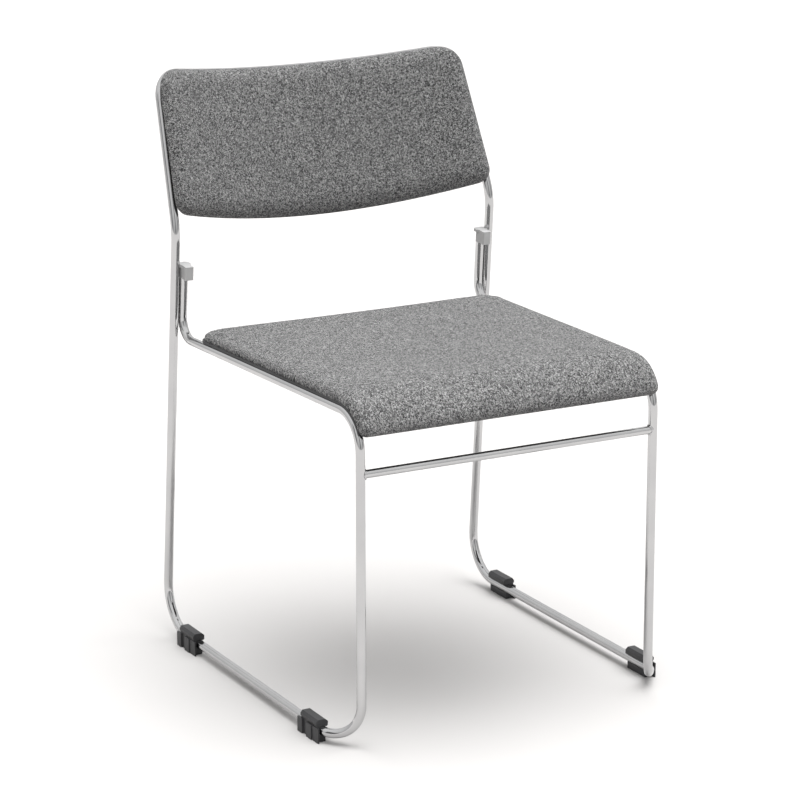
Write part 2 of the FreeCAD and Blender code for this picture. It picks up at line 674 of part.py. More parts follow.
def fasteners(label, places, board_top):
    """Screws through the tabs, and the tee nuts that they turn into."""
    screws, nuts = [], []
    flange = size("nut_flange_thickness")
    for i, place in enumerate(places):
        head = placed_cylinder(f"{label}_head_{i}", place, "sizes.screw_head_diameter / 2",
                               place.thickness, size("screw_head_height"))
        shank = placed_cylinder(f"{label}_shank_{i}", place, "sizes.screw_diameter / 2",
                                flange - board_top, board_top - flange + place.thickness)
        socket = doc.addObject("Part::Prism", f"{label}_socket_{i}")
        socket.Polygon = 6
        socket.setExpression("Circumradius", "sizes.socket_width / sqrt(3)")
        socket.setExpression("Height", "sizes.socket_depth * 2")
        top = place.thickness + size("screw_head_height")
        socket.Placement = place.placement(
            place.screw + place.out * (top - size("socket_depth")))
        solid = doc.addObject("Part::Fuse", f"{label}_solid_{i}")
        solid.Base, solid.Tool = head, shank
        screw = doc.addObject("Part::Cut", f"{label}_screw_{i}")
        screw.Base, screw.Tool = solid, socket
        screws.append(screw)
        barrel = placed_cylinder(f"{label}_barrel_{i}", place,
                                 "sizes.nut_barrel_diameter / 2",
                                 -board_top, board_top - size("nut_seat"))
        disc = placed_cylinder(f"{label}_disc_{i}", place,
                               "sizes.nut_flange_diameter / 2", -board_top, flange)
        thread = placed_cylinder(f"{label}_thread_{i}", place,
                                 "sizes.screw_diameter / 2 + sizes.thread_clearance",
                                 -2 * board_top, 2 * board_top)
        body = doc.addObject("Part::Fuse", f"{label}_nut_body_{i}")
        body.Base, body.Tool = barrel, disc
        nut = doc.addObject("Part::Cut", f"{label}_nut_{i}")
        nut.Base, nut.Tool = body, thread
        nuts.append(nut)
    for name, members in ((label + "_screws", screws), (label + "_tee_nuts", nuts)):
        group = doc.addObject("Part::Compound", name)
        group.Links = members
        keep(group, name)


def bored(shape, places, radius, start, length):
    """The shape with a round hole on the screw line of each place."""
    for place in places:
        at = place.screw + place.out * start
        shape = shape.cut(Part.makeCylinder(radius, length, at, place.out))
    return shape


seat_places, back_places = [], []
for end in ("front", "rear"):
    for name, side in SIDES.items():
        place = seat_tab_place(side, size("seat_tab_" + end))
        seat_places.append(place)
        tab(f"seat_tab_{end}_{name}", place)
for level in ("low", "high"):
    for name, side in SIDES.items():
        place = back_tab_place(side, size("back_tab_" + level))
        back_places.append(place)
        tab(f"back_tab_{level}_{name}", place)
doc.recompute()

# ---------------------------------------------------------------- seat
# A black moulded pan on the rails, a bent plywood board, a foam pad, and fabric pulled
# over both and closed by the pan.

hole_radius = size("tab_hole") / 2
nut_radius = size("nut_barrel_diameter") / 2 + size("nut_clearance")
flange_radius = size("nut_flange_diameter") / 2 + size("nut_clearance")
through = 4 * size("hoop_corner_bend")
fabric = size("fabric_thickness")
board_inset = size("board_inset")
board_top = pan_top + size("seat_board_thickness")

pan = seat_layer(pan_under, pan_top).common(seat_outline(0))
feature("seat_pan", bored(pan, seat_places, hole_radius, -through / 2, through))
seat_stack = board_top - pan_under
board = seat_layer(pan_top + glue, board_top, board_inset).common(
    seat_outline(board_inset))
board = bored(board, seat_places, nut_radius, -through / 2, through)
board = bored(board, seat_places, flange_radius,
              -seat_stack, size("nut_flange_thickness"))
feature("seat_board", board)
seat_inside = seat_layer(pan_top + glue, seat_top - fabric, fabric).common(
    seat_outline(fabric + 0.8))
seat_outside = seat_layer(pan_top + glue, seat_top).common(seat_outline(0.8))
feature("seat_cover", seat_outside.cut(seat_inside))
board_room = seat_layer(pan_top, board_top + glue, board_inset - glue).common(
    seat_outline(board_inset - glue))
feature("seat_foam", seat_inside.cut(board_room))
fasteners("seat", seat_places, seat_stack)

# ---------------------------------------------------------------- backrest
# A black moulded shell behind a bent plywood board, foam and fabric. All of it is bowed
# round one axis, like the top rail, and its outline follows the centre of the hoop.


def back_layer(outer, inner):
    """A layer of the bowed back between two radii, from end to end of the hoop."""
    low = back_point(0, -corner_bend, bow_axis_out)
    height = back_length + 2 * corner_bend
    return Part.makeCylinder(outer, height, low, back_up).cut(
        Part.makeCylinder(inner, height, low, back_up))


def back_outline(trim):
    """A deep prism on the backrest's outline, smaller by the trim at every edge."""
    lean = (half_recline - hoop_half_width) / back_length
    low = size("back_bottom") + trim
    high = back_length - trim
    deep = -bow_axis_out / 2

    def half_at(up):
        return half_recline - lean * up - trim

    corners = [back_point(side * half_at(up), up, -deep) for side, up in (
        (-1, low), (1, low), (1, high), (-1, high))]
    radii = [size("back_lower_radius"), size("back_lower_radius"),
             size("back_corner_radius") - trim, size("back_corner_radius") - trim]
    prism = rounded_prism(corners, radii, back_normal * (2 * deep))
    drop = size("back_bottom_drop")
    half = half_at(low) - size("back_lower_radius")
    left, right = back_point(-half, low, -deep), back_point(half, low, -deep)
    belly = Part.Wire([
        Part.Arc(left, back_point(0, low - drop, -deep), right).toShape(),
        Part.makeLine(right, left)])
    belly_prism = Part.Face(belly).extrude(back_normal * (2 * deep))
    return prism.fuse(belly_prism).removeSplitter()


back_board_front = shell_front - size("back_board_thickness")
back_stack = shell_rear - back_board_front
shell = back_layer(shell_rear, shell_front).common(back_outline(0))
feature("back_shell", bored(shell, back_places, hole_radius, -through / 2, through))
board = back_layer(shell_front - glue, back_board_front).common(back_outline(board_inset))
board = bored(board, back_places, nut_radius, -through / 2, through)
board = bored(board, back_places, flange_radius,
              -back_stack, size("nut_flange_thickness"))
feature("back_board", board)
back_inside = back_layer(shell_front - glue, back_front + fabric).common(back_outline(fabric + 2))
back_outside = back_layer(shell_front - glue, back_front).common(back_outline(2))
feature("back_cover", back_outside.cut(back_inside))
board_room = back_layer(shell_front, back_board_front - glue).common(
    back_outline(board_inset - glue))
feature("back_foam", back_inside.cut(board_room))
fasteners("back", back_places, back_stack)

# ---------------------------------------------------------------- write the parts
doc.recompute()
os.makedirs("parts", exist_ok=True)
for thing in nodes:
    if "Invalid" in thing.State or "Error" in thing.State:
        raise ValueError(f"{thing.Label} is in state {thing.State}")
    if thing.Shape.isNull() or not thing.Shape.isValid():
        raise ValueError(f"{thing.Label} has no valid shape")
    thing.Shape.exportStep(f"parts/{thing.Label}.step")
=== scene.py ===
import math

import bmesh
import bpy
from mathutils import Matrix, Vector


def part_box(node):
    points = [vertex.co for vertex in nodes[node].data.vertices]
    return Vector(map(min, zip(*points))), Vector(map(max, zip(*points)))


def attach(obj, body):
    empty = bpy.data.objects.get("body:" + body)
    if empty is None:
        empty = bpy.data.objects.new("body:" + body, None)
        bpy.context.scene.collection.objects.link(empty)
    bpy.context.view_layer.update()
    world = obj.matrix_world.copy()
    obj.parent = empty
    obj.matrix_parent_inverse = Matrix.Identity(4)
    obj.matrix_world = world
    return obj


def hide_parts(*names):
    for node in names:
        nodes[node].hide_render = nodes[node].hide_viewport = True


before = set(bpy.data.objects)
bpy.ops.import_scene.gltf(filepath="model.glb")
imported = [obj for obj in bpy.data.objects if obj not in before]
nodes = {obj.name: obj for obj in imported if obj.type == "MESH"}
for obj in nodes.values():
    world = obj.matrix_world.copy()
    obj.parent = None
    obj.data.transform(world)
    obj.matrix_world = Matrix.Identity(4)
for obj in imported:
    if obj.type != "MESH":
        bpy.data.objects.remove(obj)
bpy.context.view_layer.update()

# ---------------------------------------------------------------- rods
# The two side rods and the hoop are 12 mm steel rod, bent cold. They are welded together
# with the thinner cross rail, and all of it is then bright chrome plated.


def mm(*values):
    """Millimetres as metres."""
    scaled = [value / 1000 for value in values]
    return scaled[0] if len(scaled) == 1 else scaled


def shader_group(name, inputs, outputs):
    """An empty node group with its named sockets."""
    group = bpy.data.node_groups.new(name, "ShaderNodeTree")
    for label, kind, value in inputs:
        socket = group.interface.new_socket(label, in_out="INPUT", socket_type=kind)
        if value is not None:
            socket.default_value = value
    for label, kind in outputs:
        group.interface.new_socket(label, in_out="OUTPUT", socket_type=kind)
    return group, group.nodes.new("NodeGroupInput"), group.nodes.new("NodeGroupOutput")


def add(tree, kind, settings=None, **inputs):
    """A node with its settings, its input values and the links into it.

    An input is named by its label, or by its number after an underscore."""
    node = tree.nodes.new(kind)
    for key, value in (settings or {}).items():
        setattr(node, key, value)
    for key, value in inputs.items():
        index = int(key[1:]) if key[1:].isdigit() else key.replace("_", " ")
        socket = node.inputs[index]
        if isinstance(value, bpy.types.NodeSocket):
            tree.links.new(value, socket)
        else:
            socket.default_value = value
    return node


def ramp(tree, fac, stops):
    """A colour ramp through the stops, given as position and grey or colour."""
    node = tree.nodes.new("ShaderNodeValToRGB")
    tree.links.new(fac, node.inputs["Fac"])
    elements = node.color_ramp.elements
    while len(elements) < len(stops):
        elements.new(0.5)
    for element, (position, colour) in zip(elements, stops):
        element.position = position
        rgb = (colour,) * 3 if isinstance(colour, (int, float)) else colour
        element.color = (*rgb, 1.0)
    return node.outputs["Color"]


def new_material(name):
    """An empty material with its shader and its output joined."""
    made = bpy.data.materials.new(name)
    made.use_nodes = True
    tree = made.node_tree
    tree.nodes.clear()
    shader = tree.nodes.new("ShaderNodeBsdfPrincipled")
    output = tree.nodes.new("ShaderNodeOutputMaterial")
    tree.links.new(shader.outputs["BSDF"], output.inputs["Surface"])
    return made, tree, shader


def place_group(tree, group, **inputs):
    """The group placed in a material, with its own values."""
    return add(tree, "ShaderNodeGroup", {"node_tree": group}, **inputs)


def put_on(piece, material):
    """Give a piece its one material."""
    piece.data.materials.clear()
    piece.data.materials.append(material)


# Surface wear that every hard piece uses: broad cloudiness, fine grain and hairlines.
surface, into, out = shader_group(
    "surface_detail",
    [("Vector", "NodeSocketVector", None), ("Roughness", "NodeSocketFloat", 0.4),
     ("Cloud", "NodeSocketFloat", 0.05), ("Grain Scale", "NodeSocketFloat", 1500.0),
     ("Grain", "NodeSocketFloat", 0.5), ("Scratch", "NodeSocketFloat", 0.1)],
    [("Roughness", "NodeSocketFloat"), ("Height", "NodeSocketFloat"),
     ("Tone", "NodeSocketFloat")])
cloud = add(surface, "ShaderNodeTexNoise", Vector=into.outputs["Vector"], Scale=22.0, Detail=4.0)
grain = add(surface, "ShaderNodeTexNoise", Vector=into.outputs["Vector"],
            Scale=into.outputs["Grain Scale"], Detail=2.0)
stretch = add(surface, "ShaderNodeMapping", Vector=into.outputs["Vector"])
stretch.inputs["Scale"].default_value = (900.0, 140.0, 60.0)
stretch.inputs["Rotation"].default_value = (0.3, 0.5, 0.9)
hair = add(surface, "ShaderNodeTexNoise", Vector=stretch.outputs["Vector"], Scale=1.0, Detail=3.0)
hairline = add(surface, "ShaderNodeMapRange", Value=hair.outputs["Fac"])
hairline.inputs["From Min"].default_value = 0.62
hairline.inputs["From Max"].default_value = 0.72
clouded = add(surface, "ShaderNodeMath", {"operation": "MULTIPLY_ADD"}, _0=cloud.outputs["Fac"],
              _1=into.outputs["Cloud"], _2=into.outputs["Roughness"])
scratched = add(surface, "ShaderNodeMath", {"operation": "MULTIPLY_ADD"},
                _0=hairline.outputs["Result"], _1=into.outputs["Scratch"],
                _2=clouded.outputs[0])
grained = add(surface, "ShaderNodeMath", {"operation": "MULTIPLY_ADD"},
              _0=grain.outputs["Fac"], _1=into.outputs["Grain"], _2=cloud.outputs["Fac"])
surface.links.new(scratched.outputs[0], out.inputs["Roughness"])
surface.links.new(grained.outputs[0], out.inputs["Height"])
surface.links.new(cloud.outputs["Fac"], out.inputs["Tone"])


def hard_material(name, dark, light, roughness, metallic=0.0, cloud=0.05, grain_scale=1500.0,
                  grain=0.5, scratch=0.05, bump=0.2, height=0.00005, specular=0.5):
    """Metal or plastic: two tones, and the wear group's roughness and bump."""
    made, tree, shader = new_material(name)
    at = tree.nodes.new("ShaderNodeTexCoord").outputs["Object"]
    detail = place_group(tree, surface, Vector=at, Roughness=roughness, Cloud=cloud,
                         Grain_Scale=grain_scale, Grain=grain, Scratch=scratch)
    tone = ramp(tree, detail.outputs["Tone"], [(0.35, dark), (0.68, light)])
    bumped = add(tree, "ShaderNodeBump", Height=detail.outputs["Height"], Strength=bump,
                 Distance=height)
    tree.links.new(tone, shader.inputs["Base Color"])
    tree.links.new(detail.outputs["Roughness"], shader.inputs["Roughness"])
    tree.links.new(bumped.outputs["Normal"], shader.inputs["Normal"])
    shader.inputs["Metallic"].default_value = metallic
    shader.inputs["Specular IOR Level"].default_value = specular
    return made


chrome = hard_material(
    "chrome_plate", (0.49, 0.49, 0.494), (0.53, 0.53, 0.53), roughness=0.05, metallic=1.0,
    cloud=0.05, grain_scale=600.0, grain=0.15, scratch=0.05, bump=0.05, height=0.00002)
for name in ("back_hoop", "side_rod_left", "side_rod_right", "front_cross_rail"):
    put_on(nodes[name], chrome)

# ---------------------------------------------------------------- welds
# Small fillet beads where the cross rail meets the legs, and along the tabs. They are plated with
# the rods.

weld_chrome = hard_material(
    "plated_weld", (0.46, 0.46, 0.465), (0.55, 0.55, 0.55), roughness=0.14, metallic=1.0,
    cloud=0.12, grain_scale=420.0, grain=0.8, scratch=0.0, bump=0.5, height=0.0002)


def finish_piece(name, shape, material):
    """A bmesh as an object at the origin, riding on the frame."""
    bmesh.ops.remove_doubles(shape, verts=shape.verts, dist=1e-6)
    bmesh.ops.recalc_face_normals(shape, faces=shape.faces)
    mesh = bpy.data.meshes.new(name)
    for face in shape.faces:
        face.smooth = True
    shape.to_mesh(mesh)
    shape.free()
    piece = bpy.data.objects.new(name, mesh)
    bpy.context.scene.collection.objects.link(piece)
    put_on(piece, material)
    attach(piece, "root")
    return piece


def bead(shape, start, end, radius, ripples):
    """A straight weld bead: a thin rod with swollen ripples and tapered ends."""
    run = end - start
    turn = Vector((0, 0, 1)).rotation_difference(run).to_matrix().to_4x4()
    steps = ripples * 4
    ring = bmesh.ops.create_circle(shape, segments=10, radius=radius, cap_ends=True)["verts"]
    faces = [face for face in shape.faces if all(vert in ring for vert in face.verts)]
    made = list(ring)
    for _ in range(steps):
        grown = bmesh.ops.extrude_face_region(shape, geom=faces)["geom"]
        bmesh.ops.delete(shape, geom=faces, context="FACES_ONLY")
        ring = [item for item in grown if isinstance(item, bmesh.types.BMVert)]
        faces = [item for item in grown if isinstance(item, bmesh.types.BMFace)]
        bmesh.ops.translate(shape, verts=ring, vec=(0, 0, run.length / steps))
        made += ring
    for vert in made:
        along = vert.co.z / run.length
        taper = max(1 - (2 * along - 1) ** 8, 0.02) ** 0.5
        swell = taper * (1 + 0.10 * math.cos(along * ripples * 2 * math.pi))
        vert.co.x *= swell
        vert.co.y *= swell
    bmesh.ops.transform(shape, matrix=Matrix.Translation(start) @ turn, verts=made)


rail_low, rail_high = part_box("front_cross_rail")
rail_centre = (rail_low + rail_high) / 2
rail_radius = (rail_high.z - rail_low.z) / 2
rod_radius = mm(6)
# the legs' centre line lies a little past the rail's coped ends
leg_line = rail_high.x + mm(3.1)
fillet_radius = mm(1.25)
fillet_proud = mm(0.35)
fillet_sunk = mm(0.2)
shape = bmesh.new()
for side in (1, -1):
    ring = bmesh.ops.create_circle(shape, segments=10, radius=fillet_radius)["verts"]
    bmesh.ops.transform(shape, verts=ring, matrix=Matrix.Translation(
        Vector((0, 0, rail_radius + fillet_proud))) @ Matrix.Rotation(math.pi / 2, 4, "X"))
    edges = list({edge for vert in ring for edge in vert.link_edges})
    bmesh.ops.spin(shape, geom=ring + edges, cent=(0, 0, 0), axis=(1, 0, 0), dvec=(0, 0, 0),
                   angle=2 * math.pi, steps=36, use_merge=True)
    # only this end's ring is still at the middle
    verts = {vert for vert in shape.verts if abs(vert.co.x) < mm(2)}
    for vert in verts:
        around = math.atan2(vert.co.y, vert.co.z)
        inset = math.sqrt(rod_radius ** 2 - (rail_radius * math.sin(around)) ** 2)
        ripple = 1 + 0.03 * math.sin(around * 14)
        vert.co.y *= ripple
        vert.co.z *= ripple
        vert.co.x += side * (leg_line - inset - fillet_sunk)
    bmesh.ops.translate(shape, verts=list(verts), vec=(0, rail_centre.y, rail_centre.z))
finish_piece("cross_rail_welds", shape, weld_chrome)

# for each kind of tab: its places, how far the bead's two ends lie inside the tab's box,
# and the bead's radius and ripples
tab_beads = {
    "seat": (("front", "rear"), mm(0, 3, 0.8), mm(0, 3, 1.6), mm(1.5), 9),
    "back": (("low", "high"), mm(4, 8, 3), mm(5, 1.5, 4), mm(1.4), 8),
}
for cushion, (places, foot, head, radius, ripples) in tab_beads.items():
    shape = bmesh.new()
    for place in places:
        for side in ("left", "right"):
            low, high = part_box(f"{cushion}_tab_{place}_{side}")
            edge, inward = (high.x, -1) if side == "left" else (low.x, 1)
            start = Vector((edge + inward * foot[0], low.y + foot[1], low.z + foot[2]))
            end = Vector((edge + inward * head[0], high.y - head[1], high.z - head[2]))
            bead(shape, start, end, radius, ripples)
    finish_piece(cushion + "_tab_welds", shape, weld_chrome)

# ---------------------------------------------------------------- glides
# Black nylon clips snapped on the runners. They stand on the floor, and their outer plate
# has the hook and the groove that link chairs in a row.


def rounded_copy(name, width, material, segments=3, tuck=None):
    """A CAD piece with its sharp edges rounded off, shown in its place."""
    sharp = math.radians(34)
    shape = bmesh.new()
    shape.from_mesh(nodes[name].data)
    bmesh.ops.remove_doubles(shape, verts=shape.verts, dist=2e-6)
    bmesh.ops.dissolve_limit(shape, angle_limit=math.radians(1), verts=shape.verts,
                             edges=shape.edges)
    for vert in shape.verts if tuck else ():
        vert.co = tuck(vert.co)
    edges = [edge for edge in shape.edges
             if len(edge.link_faces) == 2 and edge.calc_face_angle() > sharp]
    bmesh.ops.bevel(shape, geom=edges, offset=width, offset_type="OFFSET", segments=segments,
                    profile=0.5, affect="EDGES", clamp_overlap=True, material=-1)
    piece = finish_piece(name + "_moulded", shape, material)
    weighted = piece.modifiers.new("weighted", "WEIGHTED_NORMAL")
    weighted.weight = 80
    weighted.keep_sharp = False
    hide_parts(name)
    return piece


nylon = hard_material(
    "black_nylon", (0.010, 0.010, 0.011), (0.022, 0.022, 0.024), roughness=0.40,
    cloud=0.10, grain_scale=1900.0, grain=0.7, scratch=0.12, bump=0.35, height=0.0001)
for end in ("front", "rear"):
    for side in ("left", "right"):
        piece = rounded_copy(f"glide_{end}_{side}", mm(0.45), nylon)

# ---------------------------------------------------------------- caps
# Grey plastic plugs in the ends of the short uprights, with a flat top on which the next
# chair of a stack rests.

cap_grey = hard_material(
    "cap_grey", (0.34, 0.34, 0.34), (0.40, 0.40, 0.40), roughness=0.45,
    cloud=0.08, grain_scale=1700.0, grain=0.6, scratch=0.10, bump=0.3, height=0.00008,
    specular=0.3)
for side in ("left", "right"):
    piece = rounded_copy("cap_" + side, mm(0.7), cap_grey)

# ---------------------------------------------------------------- tabs and fasteners
# Laser-cut steel tabs, welded to the rods before plating. Black socket-head screws pass
# through them into plated tee nuts, which sit in the boards.

for name in nodes:
    if "_tab_" in name:
        piece = rounded_copy(name, mm(0.35), chrome, segments=2)

black_oxide = hard_material(
    "black_oxide", (0.035, 0.035, 0.037), (0.07, 0.07, 0.072), roughness=0.36, metallic=0.85,
    cloud=0.15, grain_scale=1400.0, grain=0.4, scratch=0.15, bump=0.25)
zinc = hard_material(
    "zinc_plate", (0.52, 0.52, 0.48), (0.66, 0.65, 0.60), roughness=0.30, metallic=1.0,
    cloud=0.25, grain_scale=700.0, grain=0.8, scratch=0.1, bump=0.3)
for name in ("seat_screws", "back_screws"):
    put_on(nodes[name], black_oxide)
for name in ("seat_tee_nuts", "back_tee_nuts"):
    put_on(nodes[name], zinc)

# ---------------------------------------------------------------- shells
# The seat's pan and the backrest's shell are black injection mouldings with a fine
# grain. They close the fabric and are held by the same screws as the boards.

shell_black = hard_material(
    "shell_black", (0.016, 0.016, 0.017), (0.030, 0.030, 0.032), roughness=0.48,
    cloud=0.05, grain_scale=1300.0, grain=1.0, scratch=0.08, bump=0.5, height=0.00012,
    specular=0.35)
# The backrest's line: bowed round an axis in front of it, along the reclined rods.
back_foot = Vector((0, mm(173.69), mm(564.7)))
back_head = Vector((0, mm(253.09), mm(759.0)))
back_up = (back_head - back_foot).normalized()
back_rearward = Vector((0, back_up.z, -back_up.y))
back_length = (back_head - back_foot).length
bow_axis = mm(-472.3)
shell_front = mm(511.4)
back_low = mm(19)
belly = mm(12)
back_half_low = mm(235.2)
back_half_top = mm(222)
back_corners = mm(18, 30)
# the fabric closes over this much of the shell's edge
side_tuck = mm(2.6)
end_tuck = mm(2.0)
tucked_rim = mm(8)
below_tuck = mm(-70)


def inset_of(x, y, half_width, length, corners):
    """How far a point of the flat pad lies inside its edge.

    The corners are the radii at the low y end and at the high y end."""
    corner = corners[y > 0]
    dx = half_width - abs(x)
    dy = length / 2 - abs(y)
    if dx < corner and dy < corner:
        return corner - math.hypot(corner - dx, corner - dy)
    return min(dx, dy)


def puff(piece, pinned):
    """Cloth under pressure, with the pinned verts held and the others' travel capped."""
    pressure = 4.0
    cap = mm(1.5)
    before = [vert.co.copy() for vert in piece.data.vertices]
    group = piece.vertex_groups.new(name="held")
    group.add(pinned, 1.0, "REPLACE")
    cloth = piece.modifiers.new("cloth", "CLOTH")
    cloth.settings.quality = 6
    cloth.settings.mass = 0.3
    cloth.settings.tension_stiffness = 12
    cloth.settings.compression_stiffness = 12
    cloth.settings.bending_stiffness = 0.6
    cloth.settings.use_pressure = True
    cloth.settings.uniform_pressure_force = pressure
    cloth.settings.vertex_group_mass = "held"
    cloth.settings.effector_weights.gravity = 0
    cloth.collision_settings.use_collision = False
    scene = bpy.context.scene
    for step in range(1, 21):
        scene.frame_set(step)
    settled = piece.evaluated_get(bpy.context.evaluated_depsgraph_get())
    after = [vert.co.copy() for vert in settled.data.vertices]
    piece.modifiers.remove(cloth)
    piece.vertex_groups.clear()
    scene.frame_set(1)
    for vert, was, now in zip(piece.data.vertices, before, after):
        move = now - was
        if move.length > cap:
            move *= cap / move.length
        vert.co = was + move
    piece.data.update()


def outward(x, y, half_width, length, corners):
    """The way out of the flat pad, square to its nearest edge."""
    dx = abs(x) - (half_width - corners[y > 0])
    dy = abs(y) - (length / 2 - corners[y > 0])
    out = Vector((max(dx, 0), max(dy, 0)))
    if dx <= 0 or dy <= 0:
        out = Vector((1, 0)) if half_width - abs(x) < length / 2 - abs(y) else Vector((0, 1))
    out.normalize()
    return Vector((math.copysign(out.x, x), math.copysign(out.y, y)))


def back_half(up):
    """Half the backrest's width at a height up the rods."""
    return back_half_low + (back_half_top - back_half_low) * up / back_length


def tucked_back(place):
    """The shell's edge drawn in, so that the fabric closes over it."""
    local = place - back_foot
    up, out = local.dot(back_up), local.dot(back_rearward) - bow_axis
    tall = back_length - back_low
    x = shell_front * math.sin(math.atan2(local.x, out)) * back_half_low / back_half(up)
    y = up - back_low - tall / 2
    if inset_of(x, y, back_half_low, tall, back_corners) > tucked_rim or y < below_tuck:
        return place
    way = outward(x, y, back_half_low, tall, back_corners)
    turn = Matrix.Rotation(
        math.copysign(abs(way.x) * side_tuck / shell_front, x), 4, back_up)
    pivot = back_foot + back_rearward * bow_axis
    return turn @ (place - pivot) + pivot - back_up * way.y * end_tuck


for name, tuck in (("seat_pan", None), ("back_shell", tucked_back)):
    piece = rounded_copy(name, mm(0.9), shell_black, tuck=tuck)

# ---------------------------------------------------------------- boards
# Bent beech plywood, hot-pressed to the curve of the rods. It is closed in by the foam and
# the shells, and carries the tee nuts.

beech, tree, shader = new_material("beech_ply")
at = tree.nodes.new("ShaderNodeTexCoord").outputs["Object"]
along = add(tree, "ShaderNodeMapping", Vector=at)
along.inputs["Scale"].default_value = (160.0, 14.0, 40.0)
figure = add(tree, "ShaderNodeTexNoise", Vector=along.outputs["Vector"], Scale=1.0, Detail=6.0)
colour = ramp(tree, figure.outputs["Fac"], [(0.3, (0.42, 0.27, 0.15)), (0.7, (0.60, 0.43, 0.27))])
grooved = add(tree, "ShaderNodeBump", Height=figure.outputs["Fac"], Strength=0.3, Distance=0.0003)
tree.links.new(colour, shader.inputs["Base Color"])
tree.links.new(grooved.outputs["Normal"], shader.inputs["Normal"])
shader.inputs["Roughness"].default_value = 0.6
for name in ("seat_board", "back_board"):
    put_on(nodes[name], beech)

# ---------------------------------------------------------------- tweed
# Grey upholstery tweed: a plain weave of thick spun yarns, each flecked light and dark.
# The pattern reads the pad's own UV map, laid out in metres along the cloth.

tweed, into, out = shader_group(
    "tweed_weave",
    [("Vector", "NodeSocketVector", None), ("Yarns", "NodeSocketFloat", 930.0),
     ("Shade", "NodeSocketFloat", 1.0)],
    [("Color", "NodeSocketColor"), ("Height", "NodeSocketFloat")])
scaled = add(tweed, "ShaderNodeVectorMath", {"operation": "SCALE"}, _0=into.outputs["Vector"],
             Scale=into.outputs["Yarns"])
wander = add(tweed, "ShaderNodeTexNoise", Vector=scaled.outputs["Vector"], Scale=0.35, Detail=2.0)
drift = add(tweed, "ShaderNodeVectorMath", {"operation": "MULTIPLY_ADD"},
            _0=wander.outputs["Color"], _1=(0.9, 0.9, 0.0), _2=scaled.outputs["Vector"])
place = add(tweed, "ShaderNodeSeparateXYZ", Vector=drift.outputs["Vector"])
# over-and-under: two sine ridges, each on top in every other cell
ridge_u = add(tweed, "ShaderNodeMath", {"operation": "SINE"}, _0=add(
    tweed, "ShaderNodeMath", {"operation": "MULTIPLY"}, _0=place.outputs["X"],
    _1=math.pi).outputs[0])
ridge_v = add(tweed, "ShaderNodeMath", {"operation": "SINE"}, _0=add(
    tweed, "ShaderNodeMath", {"operation": "MULTIPLY"}, _0=place.outputs["Y"],
    _1=math.pi).outputs[0])
cross = add(tweed, "ShaderNodeMath", {"operation": "MULTIPLY"}, _0=ridge_u.outputs[0],
            _1=ridge_v.outputs[0])
plain = add(tweed, "ShaderNodeMath", {"operation": "MULTIPLY_ADD"}, _0=cross.outputs[0], _1=0.5,
            _2=0.5)
cell_u = add(tweed, "ShaderNodeVectorMath", {"operation": "MULTIPLY"},
             _0=drift.outputs["Vector"], _1=(1.0, 0.55, 1.0))
cell_v = add(tweed, "ShaderNodeVectorMath", {"operation": "MULTIPLY"},
             _0=drift.outputs["Vector"], _1=(0.55, 1.0, 1.0))
fleck_u = add(tweed, "ShaderNodeTexVoronoi", Vector=cell_u.outputs["Vector"], Scale=1.0,
              Randomness=0.9)
fleck_v = add(tweed, "ShaderNodeTexVoronoi", Vector=cell_v.outputs["Vector"], Scale=1.0,
              Randomness=0.9)
warp_tone = add(tweed, "ShaderNodeSeparateXYZ", Vector=fleck_u.outputs["Color"])
weft_tone = add(tweed, "ShaderNodeSeparateXYZ", Vector=fleck_v.outputs["Color"])
on_top = add(tweed, "ShaderNodeMath", {"operation": "GREATER_THAN"}, _0=plain.outputs[0], _1=0.5)
yarn = add(tweed, "ShaderNodeMix", {"data_type": "FLOAT"}, Factor=on_top.outputs[0],
           _2=warp_tone.outputs["X"], _3=weft_tone.outputs["X"])
fibre = add(tweed, "ShaderNodeTexNoise", Vector=scaled.outputs["Vector"], Scale=3.2, Detail=3.0)
blended = add(tweed, "ShaderNodeMath", {"operation": "MULTIPLY_ADD"}, _0=fibre.outputs["Fac"],
              _1=0.55, _2=yarn.outputs[0])
spread = add(tweed, "ShaderNodeMath", {"operation": "MULTIPLY"}, _0=blended.outputs[0], _1=0.66)
tone = ramp(tweed, spread.outputs[0], [
    (0.17, (0.024, 0.024, 0.025)), (0.37, (0.100, 0.100, 0.102)),
    (0.53, (0.250, 0.250, 0.252)), (0.70, (0.52, 0.52, 0.518)), (0.88, (0.92, 0.92, 0.91))])
shaded = add(tweed, "ShaderNodeMix", {"data_type": "RGBA", "blend_type": "MULTIPLY"})
shaded.inputs["Factor"].default_value = 1.0
tweed.links.new(tone, shaded.inputs[6])
grey = add(tweed, "ShaderNodeCombineColor", _0=into.outputs["Shade"], _1=into.outputs["Shade"],
           _2=into.outputs["Shade"])
tweed.links.new(grey.outputs[0], shaded.inputs[7])
height = add(tweed, "ShaderNodeMath", {"operation": "ABSOLUTE"}, _0=cross.outputs[0])
fuzzy = add(tweed, "ShaderNodeMath", {"operation": "MULTIPLY_ADD"}, _0=fibre.outputs["Fac"],
            _1=0.5, _2=height.outputs[0])
tweed.links.new(shaded.outputs[2], out.inputs["Color"])
tweed.links.new(fuzzy.outputs[0], out.inputs["Height"])


